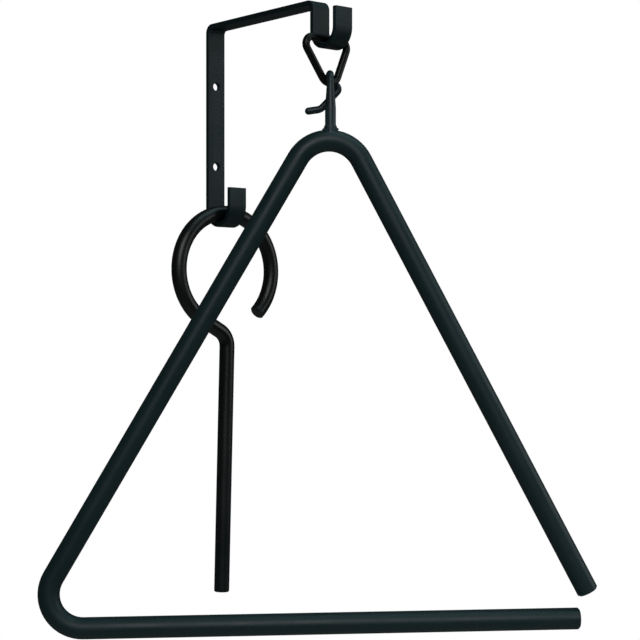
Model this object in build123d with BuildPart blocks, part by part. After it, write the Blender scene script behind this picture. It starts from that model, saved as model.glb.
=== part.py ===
"""Wall-hung dinner bell: a bent steel triangle, its hanger, its bracket and its striker.

Millimetres. +Z is up and -Y points away from the wall. The wall is the plane y = 0, and
the origin is on it, half way between the bracket's two screw holes.
"""
from build123d import *
import os
from math import atan, cos, degrees, radians, sin, sqrt

os.makedirs("parts", exist_ok=True)

# --- bracket: one flat strap, bent into two hooks, an arm and a wall plate ---
STRAP_WIDTH = 12.7
STRAP_THICK = 3.175
STRAP_EDGE = 0.5            # rounding of the rolled edges
REACH = 116.0               # wall to the middle of the upper hook
ARM_TOP = 64.3              # arm's upper face above the origin
PLATE_BOTTOM = -64.4        # underside of the lower hook
UPPER_GAP = 17.5            # inside width of the upper hook
LOWER_GAP = 19.5            # inside width of the lower hook
UPPER_HOOK_DROP = 30.0      # arm's upper face to the underside of the upper hook
UPPER_LIP = 23.2            # upper hook's free end above its underside
LOWER_LIP = 24.2            # lower hook's free end above its underside
CORNER_INNER = 2.4          # inside radius of the arm's two square bends
SCREW_PITCH = 50.8
SCREW_HOLE = 5.0
HOLE_CHAMFER = 0.35

# --- hanging ring: a round wire bent to three corners ---
RING_WIRE = 4.5
RING_LEFT = 23.5            # sharp top corners, left and right of the bottom corner
RING_RIGHT = 13.6
RING_DROP = 32.7            # top side to the sharp bottom corner, on the wire's middle
RING_TOP_RADIUS = 4.5
RING_SLIDE = -1.2           # how far the ring has slid along the upper hook
RING_SEAT_RADIUS = 6.8
SEAT_CLEARANCE = 0.35       # between pieces that hang on each other

# --- triangle: a round bar with two bends and one open corner ---
BAR = 12.7
SIDE = 351.4                # sharp apex to sharp closed corner, on the bar's middle
RIGHT_LEG = 323.0           # sharp apex to the right leg's free end
BASE = 322.7                # sharp closed corner to the base's free end
LEFT_LEAN = 30.2            # legs from the vertical, as the triangle hangs
RIGHT_LEAN = 27.9
BASE_RISE = 0.5             # base from the horizontal
APEX_RADIUS = 21.1
APEX_SHIFT = -0.7           # apex bend's middle from the stem's axis
CORNER_RADIUS = 19.6
BAR_END_CHAMFER = 1.0
TURNED = 36.0               # the triangle hangs turned this far from the wall's plane

# --- hanger hook: forged from a thicker stem down to a thin tail, welded to the apex ---
STEM = 6.35
HOOK_WIRE = 4.3
CROWN_RADIUS = 8.0          # half the distance between the stem and the tail
CROWN_BEND = 5.0
APEX_BELOW_SEAT = 34.7      # ring's seat to the middle of the bar at the apex
TAPER_TOP = -1.3            # the stem's taper, from the ring's seat
TAPER_BOTTOM = -15.8
TAIL_BULGE = (6.6, -2.2, -9.6)   # the tail's corners from the seat: right, up, forward
TAIL_ELBOW = (-4.6, -14.2, -9.2)
TAIL_TIP = (-11.8, -15.4, -8.6)
TAIL_BENDS = (2.4, 6.0)

# --- weld bead round the foot of the stem ---
BEAD_RADIUS = 5.0
BEAD_HEIGHT = 2.4           # above the top of the bar
BEAD_TOP_MARGIN = 0.35      # the bead's rim stands this far out of the stem

# --- striker: a round rod with an open loop for a handle ---
ROD = 9.525
LOOP_RADIUS = 36.0
LOOP_START = -48.0          # the loop's free end, degrees from +X
LOOP_SWEEP = 290.0
NECK_X = 1.0                # top of the straight stem
NECK_RADIUS = 11.0
STRIKER_LENGTH = 202.4      # loop's centre to the tip
TIP_X = -3.4
ROD_END_CHAMFER = 0.7

# --- places that follow from the sizes above ---
upper_bend = (UPPER_GAP + STRAP_THICK) / 2
lower_bend = (LOWER_GAP + STRAP_THICK) / 2
corner_radius = CORNER_INNER + STRAP_THICK / 2
arm_z = ARM_TOP - STRAP_THICK / 2
upper_hook_z = ARM_TOP - UPPER_HOOK_DROP + STRAP_THICK + UPPER_GAP / 2
lower_hook_z = PLATE_BOTTOM + STRAP_THICK + LOWER_GAP / 2
upper_lip_z = ARM_TOP - UPPER_HOOK_DROP + UPPER_LIP
lower_lip_z = PLATE_BOTTOM + LOWER_LIP
lower_hook_y = -STRAP_THICK - LOWER_GAP / 2

ring_z = upper_hook_z - UPPER_GAP / 2 + SEAT_CLEARANCE + RING_WIRE / 2
left_slope = degrees(atan(RING_LEFT / RING_DROP))
right_slope = degrees(atan(RING_RIGHT / RING_DROP))
seat_centre_lean = radians((left_slope - right_slope) / 2)
seat_centre_dist = RING_SEAT_RADIUS / sin(radians((left_slope + right_slope) / 2))
ring_corner_x = RING_SLIDE + seat_centre_dist * sin(seat_centre_lean)
ring_seat_z = ring_z - RING_DROP + seat_centre_dist * cos(seat_centre_lean) - RING_SEAT_RADIUS

# the triangle's own plane, through the ring's seat: x to its right, y up, z forward
turn = radians(TURNED)
hang_plane = Plane(
    origin=(RING_SLIDE, -REACH, ring_seat_z),
    x_dir=(cos(turn), -sin(turn), 0),
    z_dir=(-sin(turn), -cos(turn), 0),
)
bar_plane = hang_plane.offset(CROWN_RADIUS)
crown_y = RING_WIRE / 2 + SEAT_CLEARANCE + HOOK_WIRE / 2

# the sharp apex stands above the top of the apex bend
apex_half_angle = radians((LEFT_LEAN + RIGHT_LEAN) / 2)
apex_lean = radians((LEFT_LEAN - RIGHT_LEAN) / 2)
apex_centre_dist = APEX_RADIUS / sin(apex_half_angle)
apex = (
    APEX_SHIFT + apex_centre_dist * sin(apex_lean),
    -APEX_BELOW_SEAT - APEX_RADIUS + apex_centre_dist * cos(apex_lean),
)


def section_plane(path):
    """The plane square across the start of a path, with its x along +X or, failing that, +Z."""
    way = path % 0
    across = Vector(1, 0, 0) if abs(way.X) < 0.9 else Vector(0, 0, 1)
    return Plane(origin=path @ 0, x_dir=across - way * across.dot(way), z_dir=way)


def along(start, length, heading):
    """The sketch point at a distance from another, its heading in degrees from +X."""
    x, y = start
    return (x + length * cos(radians(heading)), y + length * sin(radians(heading)))


def hang_point(place):
    """A point given as right, up and forward from the ring's seat."""
    return hang_plane.from_local_coords(Vector(*place))


# --- bracket ---
with BuildLine(Plane.YZ) as strap_line:
    upper_lip = Line((-REACH - upper_bend, upper_lip_z), (-REACH - upper_bend, upper_hook_z))
    upper_seat = JernArc(upper_lip @ 1, (0, -1), upper_bend, 180)
    riser = Line(upper_seat @ 1, (-REACH + upper_bend, arm_z - corner_radius))
    front_corner = JernArc(riser @ 1, (0, 1), corner_radius, -90)
    arm = Line(front_corner @ 1, (-STRAP_THICK / 2 - corner_radius, arm_z))
    wall_corner = JernArc(arm @ 1, (1, 0), corner_radius, -90)
    plate = Line(wall_corner @ 1, (-STRAP_THICK / 2, lower_hook_z))
    lower_seat = JernArc(plate @ 1, (0, -1), lower_bend, -180)
    Line(lower_seat @ 1, (-STRAP_THICK / 2 - 2 * lower_bend, lower_lip_z))

with BuildPart() as bracket:
    with BuildSketch(section_plane(strap_line.wire())):
        RectangleRounded(STRAP_WIDTH, STRAP_THICK, STRAP_EDGE)
    sweep(path=strap_line.wire())
    hole_faces = [
        Plane(origin=(0, -STRAP_THICK, z), x_dir=(1, 0, 0), z_dir=(0, -1, 0))
        for z in (-SCREW_PITCH / 2, SCREW_PITCH / 2)
    ]
    with Locations(*hole_faces):
        Hole(radius=SCREW_HOLE / 2, depth=STRAP_THICK)
    hole_rims = (
        bracket.edges()
        .filter_by(GeomType.CIRCLE)
        .filter_by(lambda edge: abs(edge.radius - SCREW_HOLE / 2) < 0.01)
        .filter_by(lambda edge: edge.center().Y < -STRAP_THICK / 2)
    )
    chamfer(hole_rims, length=HOLE_CHAMFER)
bracket.part.label = "bracket"
export_step(bracket.part, "parts/bracket.step")

# --- hanging ring ---
ring_plane = Plane(origin=(0, -REACH, ring_z), x_dir=(1, 0, 0), z_dir=(0, -1, 0))
with BuildLine(ring_plane) as ring_line:
    FilletPolyline(
        (ring_corner_x - RING_LEFT, 0),
        (ring_corner_x, -RING_DROP),
        (ring_corner_x + RING_RIGHT, 0),
        radius=[RING_TOP_RADIUS, RING_SEAT_RADIUS, RING_TOP_RADIUS],
        close=True,
    )

with BuildPart() as hanging_ring:
    with BuildSketch(section_plane(ring_line.wire())):
        Circle(RING_WIRE / 2)
    sweep(path=ring_line.wire())
hanging_ring.part.label = "hanging_ring"
export_step(hanging_ring.part, "parts/hanging_ring.step")

# --- triangle bar ---
closed_corner = along(apex, SIDE, -90 - LEFT_LEAN)
right_end = along(apex, RIGHT_LEG, -90 + RIGHT_LEAN)
base_end = along(closed_corner, BASE, BASE_RISE)
with BuildLine(bar_plane) as bar_line:
    FilletPolyline(right_end, apex, closed_corner, base_end, radius=[APEX_RADIUS, CORNER_RADIUS])

with BuildPart() as triangle_bar:
    with BuildSketch(section_plane(bar_line.wire())):
        Circle(BAR / 2)
    sweep(path=bar_line.wire())
    bar_ends = triangle_bar.faces().filter_by(GeomType.PLANE)
    chamfer(bar_ends.edges(), length=BAR_END_CHAMFER)
triangle_bar.part.label = "triangle_bar"
export_step(triangle_bar.part, "parts/triangle_bar.step")

# --- hanger hook ---
crown_front = (0, crown_y, CROWN_RADIUS)
crown_back = (0, crown_y, -CROWN_RADIUS)
tail_corners = (TAIL_BULGE, TAIL_ELBOW)
with BuildLine() as hook_line:
    FilletPolyline(
        hang_point((0, TAPER_TOP, CROWN_RADIUS)),
        *[hang_point(place) for place in (crown_front, crown_back, *tail_corners, TAIL_TIP)],
        radius=[CROWN_BEND, CROWN_BEND, *TAIL_BENDS],
    )
stem_foot = -APEX_BELOW_SEAT + BAR / 4      # inside the bar, which trims the foot
stem_plane = Plane(origin=hang_point((0, 0, CROWN_RADIUS)), x_dir=(1, 0, 0), z_dir=(0, 0, 1))

with BuildPart() as hanger_hook:
    with BuildSketch(stem_plane.offset(stem_foot)):
        Circle(STEM / 2)
    extrude(amount=TAPER_BOTTOM - stem_foot)
    with BuildSketch(stem_plane.offset(TAPER_BOTTOM)):
        Circle(STEM / 2)
    with BuildSketch(stem_plane.offset(TAPER_TOP)):
        Circle(HOOK_WIRE / 2)
    loft()
    with BuildSketch(section_plane(hook_line.wire())):
        Circle(HOOK_WIRE / 2)
    sweep(path=hook_line.wire())
    with Locations(hang_point(TAIL_TIP)):
        Sphere(HOOK_WIRE / 2)
    add(triangle_bar.part, mode=Mode.SUBTRACT)
hanger_hook.part.label = "hanger_hook"
export_step(hanger_hook.part, "parts/hanger_hook.step")

# --- weld bead ---
bar_top = -APEX_BELOW_SEAT + BAR / 2
bead_foot = bar_top - (BAR / 2 - sqrt((BAR / 2) ** 2 - BEAD_RADIUS ** 2))
with BuildPart() as hook_weld:
    with BuildSketch(stem_plane.offset(bead_foot)):
        Circle(BEAD_RADIUS)
    with BuildSketch(stem_plane.offset(bar_top + BEAD_HEIGHT)):
        Circle(STEM / 2 + BEAD_TOP_MARGIN)
    loft()
    add(triangle_bar.part, mode=Mode.SUBTRACT)
    add(hanger_hook.part, mode=Mode.SUBTRACT)
hook_weld.part.label = "hook_weld"
export_step(hook_weld.part, "parts/hook_weld.step")

# --- striker ---
arch_radius = LOOP_RADIUS - ROD / 2
arch_over_strap = sqrt(arch_radius ** 2 - (STRAP_WIDTH / 2) ** 2)
loop_z = lower_hook_z - LOWER_GAP / 2 + SEAT_CLEARANCE - arch_over_strap
striker_plane = Plane(origin=(0, lower_hook_y, loop_z), x_dir=(1, 0, 0), z_dir=(0, -1, 0))
loop_end = LOOP_START + LOOP_SWEEP
neck_start = along((0, 0), LOOP_RADIUS, loop_end)
neck_heading = loop_end + 90
neck_corner = along(neck_start, (NECK_X - neck_start[0]) / cos(radians(neck_heading)), neck_heading)
with BuildLine(striker_plane) as rod_line:
    CenterArc((0, 0), LOOP_RADIUS, LOOP_START, LOOP_SWEEP)
    FilletPolyline(neck_start, neck_corner, (TIP_X, -STRIKER_LENGTH), radius=NECK_RADIUS)

with BuildPart() as striker:
    with BuildSketch(section_plane(rod_line.wire())):
        Circle(ROD / 2)
    sweep(path=rod_line.wire())
    rod_ends = striker.faces().filter_by(GeomType.PLANE)
    chamfer(rod_ends.edges(), length=ROD_END_CHAMFER)
striker.part.label = "striker"
export_step(striker.part, "parts/striker.step")
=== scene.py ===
"""A wall-hung dinner bell: bent steel bar, wire and strap under one coat of satin black paint.

Every metal piece comes from the CAD frame and keeps its shape. This file gives each one its
finish, and adds the ripples of the weld at the foot of the hanger hook. Each piece's copy of the
one paint has its own colour, lighter or darker as painted light and shade.
"""

import math

import bpy
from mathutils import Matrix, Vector


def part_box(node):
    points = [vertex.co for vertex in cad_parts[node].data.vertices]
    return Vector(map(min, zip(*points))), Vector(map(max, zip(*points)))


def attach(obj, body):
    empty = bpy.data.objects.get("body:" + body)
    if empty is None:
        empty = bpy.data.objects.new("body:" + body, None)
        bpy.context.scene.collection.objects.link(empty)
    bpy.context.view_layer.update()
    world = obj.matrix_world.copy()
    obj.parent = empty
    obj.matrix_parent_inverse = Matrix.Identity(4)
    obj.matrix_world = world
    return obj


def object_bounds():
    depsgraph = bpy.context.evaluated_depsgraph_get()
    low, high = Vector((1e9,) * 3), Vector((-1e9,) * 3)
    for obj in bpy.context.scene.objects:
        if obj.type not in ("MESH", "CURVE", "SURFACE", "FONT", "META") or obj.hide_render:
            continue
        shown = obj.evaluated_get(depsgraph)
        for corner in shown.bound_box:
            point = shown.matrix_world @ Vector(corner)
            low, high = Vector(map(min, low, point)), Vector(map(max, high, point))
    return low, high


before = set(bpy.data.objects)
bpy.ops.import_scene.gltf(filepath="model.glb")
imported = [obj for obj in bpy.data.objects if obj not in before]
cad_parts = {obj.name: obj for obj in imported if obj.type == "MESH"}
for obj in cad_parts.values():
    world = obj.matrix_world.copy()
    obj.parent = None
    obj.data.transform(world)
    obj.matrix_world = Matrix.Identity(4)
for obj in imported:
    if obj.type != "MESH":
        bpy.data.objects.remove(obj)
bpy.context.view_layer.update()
bpy.ops.object.select_all(action="DESELECT")


# ---- The bracket ----------------------------------------------------------------------------
# Hot-rolled mild steel strap, half an inch wide, cut square and bent cold round a former, then
# drilled and sprayed. The paint lies thin on the rolled edges and over the outside of the bends.

MM = 0.001
FILM_PATCH = 28 * MM                # patches of thicker and thinner paint
DUST_SPACING = 3.1 * MM
GRAIN_DEPTH = 0.12 * MM
PEEL_DEPTH = 0.10 * MM
THICK_FILM = 0.82                   # the paint's colour where the film is thick, as a share
THIN_FILM = 1.22                    # and where it is thin
DUST_COLOUR = "#5E6263"


def linear(hex_colour):
    """An sRGB hex colour as linear RGBA."""
    channels = [int(hex_colour[i:i + 2], 16) / 255 for i in (1, 3, 5)]
    return [c / 12.92 if c <= 0.04045 else ((c + 0.055) / 1.055) ** 2.4 for c in channels] + [1.0]


def add_node(material, kind, links=(), **settings):
    """Adds a node, sets its values and sockets by name, and links (socket, other node, its output)."""
    node = material.node_tree.nodes.new(kind)
    for name, value in settings.items():
        if hasattr(node, name):
            setattr(node, name, value)
        else:
            node.inputs[name.replace("_", " ")].default_value = value
    for socket, source, output in links:
        material.node_tree.links.new(source.outputs[output], node.inputs[socket])
    return node


def satin_paint(name, colour, worn_colour, roughness, shine, grain_mm, orange_peel_mm,
                sheen_spread):
    """Air-dried satin enamel sprayed on steel: low gloss, faint orange peel, thinner at the edges.

    The eye sees a soft broad highlight, slightly mottled, with paler rubbed edges and dust in it.
    """
    paint = bpy.data.materials.new(name)
    paint.use_nodes = True
    tree = paint.node_tree
    tree.nodes.clear()
    place = add_node(paint, "ShaderNodeTexCoord")
    # uneven film thickness, in patches a few centimetres across
    film = add_node(paint, "ShaderNodeTexNoise", [("Vector", place, "Object")],
                    Scale=1 / FILM_PATCH, Detail=3.0, Roughness=0.55)
    # rolling marks and grit under the paint
    grain = add_node(paint, "ShaderNodeTexNoise", [("Vector", place, "Object")],
                     Scale=1 / (grain_mm * MM), Detail=4.0, Roughness=0.6)
    # the orange peel of the sprayed film
    peel = add_node(paint, "ShaderNodeTexNoise", [("Vector", place, "Object")],
                    Scale=1 / (orange_peel_mm * MM), Detail=2.0, Roughness=0.5)
    # settled dust, sparse
    dust = add_node(paint, "ShaderNodeTexVoronoi", [("Vector", place, "Object")],
                    Scale=1 / DUST_SPACING, Randomness=1.0)
    dust_mask = add_node(paint, "ShaderNodeMapRange", [("Value", dust, "Distance")],
                         From_Min=0.10, From_Max=0.04, To_Min=0.0, To_Max=0.35)
    # edges and tight outside bends, from the mesh's own curvature
    bend = add_node(paint, "ShaderNodeNewGeometry")
    edge = add_node(paint, "ShaderNodeMapRange", [("Value", bend, "Pointiness")],
                    From_Min=0.52, From_Max=0.60, To_Min=0.0, To_Max=1.0)
    edge_broken = add_node(paint, "ShaderNodeMath", [(0, edge, "Result"), (1, grain, "Fac")],
                           operation="MULTIPLY")
    film_tone = add_node(paint, "ShaderNodeMix", [("Factor", film, "Fac")], data_type="RGBA")
    film_tone.inputs["A"].default_value = [c * THICK_FILM for c in linear(colour)[:3]] + [1.0]
    film_tone.inputs["B"].default_value = [c * THIN_FILM for c in linear(colour)[:3]] + [1.0]
    worn = add_node(paint, "ShaderNodeMix",
                    [("Factor", edge_broken, "Value"), ("A", film_tone, "Result")],
                    data_type="RGBA")
    worn.inputs["B"].default_value = linear(worn_colour)
    dusty = add_node(paint, "ShaderNodeMix",
                     [("Factor", dust_mask, "Result"), ("A", worn, "Result")],
                     data_type="RGBA")
    dusty.inputs["B"].default_value = linear(DUST_COLOUR)
    gloss = add_node(paint, "ShaderNodeMapRange", [("Value", film, "Fac")],
                     From_Min=0.3, From_Max=0.7,
                     To_Min=roughness - sheen_spread, To_Max=roughness + sheen_spread)
    grain_bump = add_node(paint, "ShaderNodeBump", [("Height", grain, "Fac")],
                          Strength=0.22, Distance=GRAIN_DEPTH)
    peel_bump = add_node(paint, "ShaderNodeBump",
                         [("Height", peel, "Fac"), ("Normal", grain_bump, "Normal")],
                         Strength=0.30, Distance=PEEL_DEPTH)
    shader = add_node(paint, "ShaderNodeBsdfPrincipled",
                      [("Base Color", dusty, "Result"), ("Roughness", gloss, "Result"),
                       ("Normal", peel_bump, "Normal")], IOR=1.5, Specular_IOR_Level=shine)
    add_node(paint, "ShaderNodeOutputMaterial", [("Surface", shader, "BSDF")])
    return paint


def finish_node(node, material):
    """Gives a CAD node its finish."""
    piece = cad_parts[node]
    piece.data.materials.clear()
    piece.data.materials.append(material)
    return piece


# The strap's colour is the same black paint set to a middle, teal-tinted tone: painted light and shade for
# how the light falls on the bracket.
strap_paint = satin_paint("satin_enamel_on_rolled_strap", "#122426", "#304244",
                          roughness=0.47, shine=0.28, grain_mm=1.6, orange_peel_mm=0.9, sheen_spread=0.06)
finish_node("bracket", strap_paint)


# ---- The hanging ring -----------------------------------------------------------------------
# Drawn steel wire bent to three corners and closed, under the same paint as the rest; its colour is set the
# blackest of all as painted shade.

wire_paint = satin_paint("satin_enamel_on_wire_darkened_as_painted_shade", "#040606", "#1C2122",
                         roughness=0.34, shine=0.30, grain_mm=1.1, orange_peel_mm=1.4, sheen_spread=0.05)
finish_node("hanging_ring", wire_paint)


# ---- The triangle ---------------------------------------------------------------------------
# Half-inch round mild steel bar, bent hot at two corners and left open at the third so that it
# rings. Its satin paint carries a soft broad highlight along the whole bar, and its colour is set
# paler and bluer than the other pieces' as painted light, for the teal sheen the top light lays on it.

bell_paint = satin_paint("satin_enamel_on_round_bar_lightened_as_painted_light", "#1A3033", "#34494D",
                         roughness=0.43, shine=0.36, grain_mm=1.8, orange_peel_mm=1.1, sheen_spread=0.06)
finish_node("triangle_bar", bell_paint)


# ---- The hanger hook and its weld -----------------------------------------------------------
# Forged from thicker rod: drawn down to a thin tail, curled over the ring, and welded upright on
# the apex. The weld's ripples are beads round the foot of the stem, fused into one mesh.

# The hook's colour is set paler and bluer than the wire's as painted light, for the lit teal sheen on the
# stem; the weld shares it.
forged_paint = satin_paint("satin_enamel_on_forged_rod_lightened_as_painted_light", "#1A2E34", "#42585F",
                           roughness=0.38, shine=0.42, grain_mm=2.4, orange_peel_mm=1.0, sheen_spread=0.08)
finish_node("hanger_hook", forged_paint)
finish_node("hook_weld", forged_paint)

TRIANGLE_TURN = math.radians(36)    # the triangle's plane from the wall's
BAR_RADIUS = 6.35 * MM
WELD_BEADS = 13
WELD_RADIUS = 3.8 * MM              # middle of the beads from the stem's axis
BEAD_SIZE = 0.95 * MM
BEAD_LIFT = 0.25 * MM               # beads' middles above the bar's surface
BEAD_TILT = 0.5                     # radians, each bead's lean from upright
BEAD_SHAPE = (1.25, 0.95, 0.8)
FUSE_GRID = 0.16 * MM
weld_low, weld_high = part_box("hook_weld")
bar_low, bar_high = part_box("triangle_bar")
stem_x, stem_y = (weld_low.x + weld_high.x) / 2, (weld_low.y + weld_high.y) / 2
bar_forward = Vector((math.sin(TRIANGLE_TURN), math.cos(TRIANGLE_TURN)))

beads = []
for count in range(WELD_BEADS):
    angle = math.tau * count / WELD_BEADS
    out = Vector((math.cos(angle), math.sin(angle))) * WELD_RADIUS
    off_middle = out.dot(bar_forward)
    on_bar = bar_high.z - BAR_RADIUS + math.sqrt(BAR_RADIUS ** 2 - off_middle ** 2)
    place = (stem_x + out.x, stem_y + out.y, on_bar + BEAD_LIFT)
    lean = (BEAD_TILT * math.sin(angle), -BEAD_TILT * math.cos(angle), angle)
    bpy.ops.mesh.primitive_uv_sphere_add(segments=20, ring_count=12, radius=BEAD_SIZE,
                                         location=place, rotation=lean, scale=BEAD_SHAPE)
    beads.append(bpy.context.object)
bpy.ops.object.select_all(action="DESELECT")
for bead in beads:
    bead.select_set(True)
bpy.context.view_layer.objects.active = beads[0]
bpy.ops.object.join()
weld_ripples = bpy.context.object
weld_ripples.name = "weld_ripples"
bpy.ops.object.transform_apply(location=True, rotation=True, scale=True)
fuse = weld_ripples.modifiers.new("fuse", "REMESH")
fuse.mode = "VOXEL"
fuse.voxel_size = FUSE_GRID
bpy.ops.object.modifier_apply(modifier="fuse")
settle = weld_ripples.modifiers.new("settle", "SMOOTH")
settle.factor = 0.5
settle.iterations = 3
bpy.ops.object.modifier_apply(modifier="settle")
bpy.ops.object.shade_smooth()
weld_ripples.data.materials.clear()
weld_ripples.data.materials.append(forged_paint)
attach(weld_ripples, "bell")
bpy.ops.object.select_all(action="DESELECT")


# ---- The striker ----------------------------------------------------------------------------
# Three-eighths round rod, bent cold round a former into an open loop, with a straight stem. Under
# the same paint, its colour is set a shade blacker than the bell's as painted shade, for its dark edges.

striker_paint = satin_paint("satin_enamel_on_striker_rod_darkened_as_painted_shade", "#090E0F", "#2A3334",
                            roughness=0.34, shine=0.50, grain_mm=1.7, orange_peel_mm=1.0, sheen_spread=0.06)
finish_node("striker", striker_paint)


# ---- The studio -----------------------------------------------------------------------------
# A pale floor well below the object and a white backdrop, under three softboxes.

FLOOR_SIZE = 24
FLOOR_DROP = 1.6                    # below the lowest piece
ROOM_STRENGTH = 0.045               # the room's light on the paint

low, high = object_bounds()
centre = (low + high) / 2

bpy.ops.mesh.primitive_plane_add(size=FLOOR_SIZE, location=(centre.x, centre.y, low.z - FLOOR_DROP))
floor = bpy.context.object
floor.name = "studio_floor"
paper = bpy.data.materials.new("white_seamless_paper")
paper.use_nodes = True
matt = paper.node_tree.nodes["Principled BSDF"]
matt.inputs["Base Color"].default_value = linear("#F4F4F2")
matt.inputs["Roughness"].default_value = 0.9
overexposed = add_node(paper, "ShaderNodeEmission", Color=[1.0, 1.0, 1.0, 1.0], Strength=1.0)
straight = add_node(paper, "ShaderNodeLightPath")
blown_out = add_node(paper, "ShaderNodeMixShader", [("Fac", straight, "Is Camera Ray")])
paper.node_tree.links.new(matt.outputs[0], blown_out.inputs[1])
paper.node_tree.links.new(overexposed.outputs[0], blown_out.inputs[2])
paper.node_tree.links.new(blown_out.outputs[0], paper.node_tree.nodes["Material Output"].inputs["Surface"])
floor.data.materials.append(paper)

world = bpy.data.worlds.new("white_studio")
bpy.context.scene.world = world
world.use_nodes = True
room = world.node_tree.nodes["Background"]
room.inputs["Color"].default_value = linear("#F4F8FA")
room.inputs["Strength"].default_value = ROOM_STRENGTH
backdrop = add_node(world, "ShaderNodeBackground", Color=[1.0, 1.0, 1.0, 1.0], Strength=1.0)
seen_straight = add_node(world, "ShaderNodeLightPath")
behind = add_node(world, "ShaderNodeMixShader", [("Fac", seen_straight, "Is Camera Ray")])
world.node_tree.links.new(room.outputs[0], behind.inputs[1])
world.node_tree.links.new(backdrop.outputs[0], behind.inputs[2])
world.node_tree.links.new(behind.outputs[0], world.node_tree.nodes["World Output"].inputs["Surface"])


def soft_light(name, place, target, size, watts):
    """A square softbox at a place, turned to face a target."""
    bpy.ops.object.light_add(type="AREA", location=place)
    lamp = bpy.context.object
    lamp.name = name
    lamp.data.size = size
    lamp.data.energy = watts
    lamp.rotation_euler = (Vector(target) - Vector(place)).to_track_quat("-Z", "Y").to_euler()
    return lamp


soft_light("key_softbox", centre + Vector((-1.1, -1.5, 0.9)), centre, 1.2, 13)
top = soft_light("top_softbox", centre + Vector((0.4, -0.6, 1.6)), centre, 1.4, 8)
top.data.color = linear("#C6F0F4")[:3]
soft_light("side_softbox", centre + Vector((1.5, -1.3, 0.5)), centre, 1.0, 5)

# ---- The camera -----------------------------------------------------------------------------
# Level, about a metre from the upper hook, 40 degrees to the left of square-on to the wall.

bpy.ops.object.camera_add(location=(-0.646, -0.885, -0.1402),
                          rotation=(math.radians(90), 0, math.radians(-40)))
camera = bpy.context.object
camera.name = "studio_camera"
camera.data.sensor_width = 36
camera.data.lens = 96.6
camera.data.shift_x = -0.0158
camera.data.shift_y = 0.0431
camera.data.clip_start = 0.05
camera.data.clip_end = 50
bpy.context.scene.camera = camera
bpy.context.scene.view_settings.view_transform = "Standard"
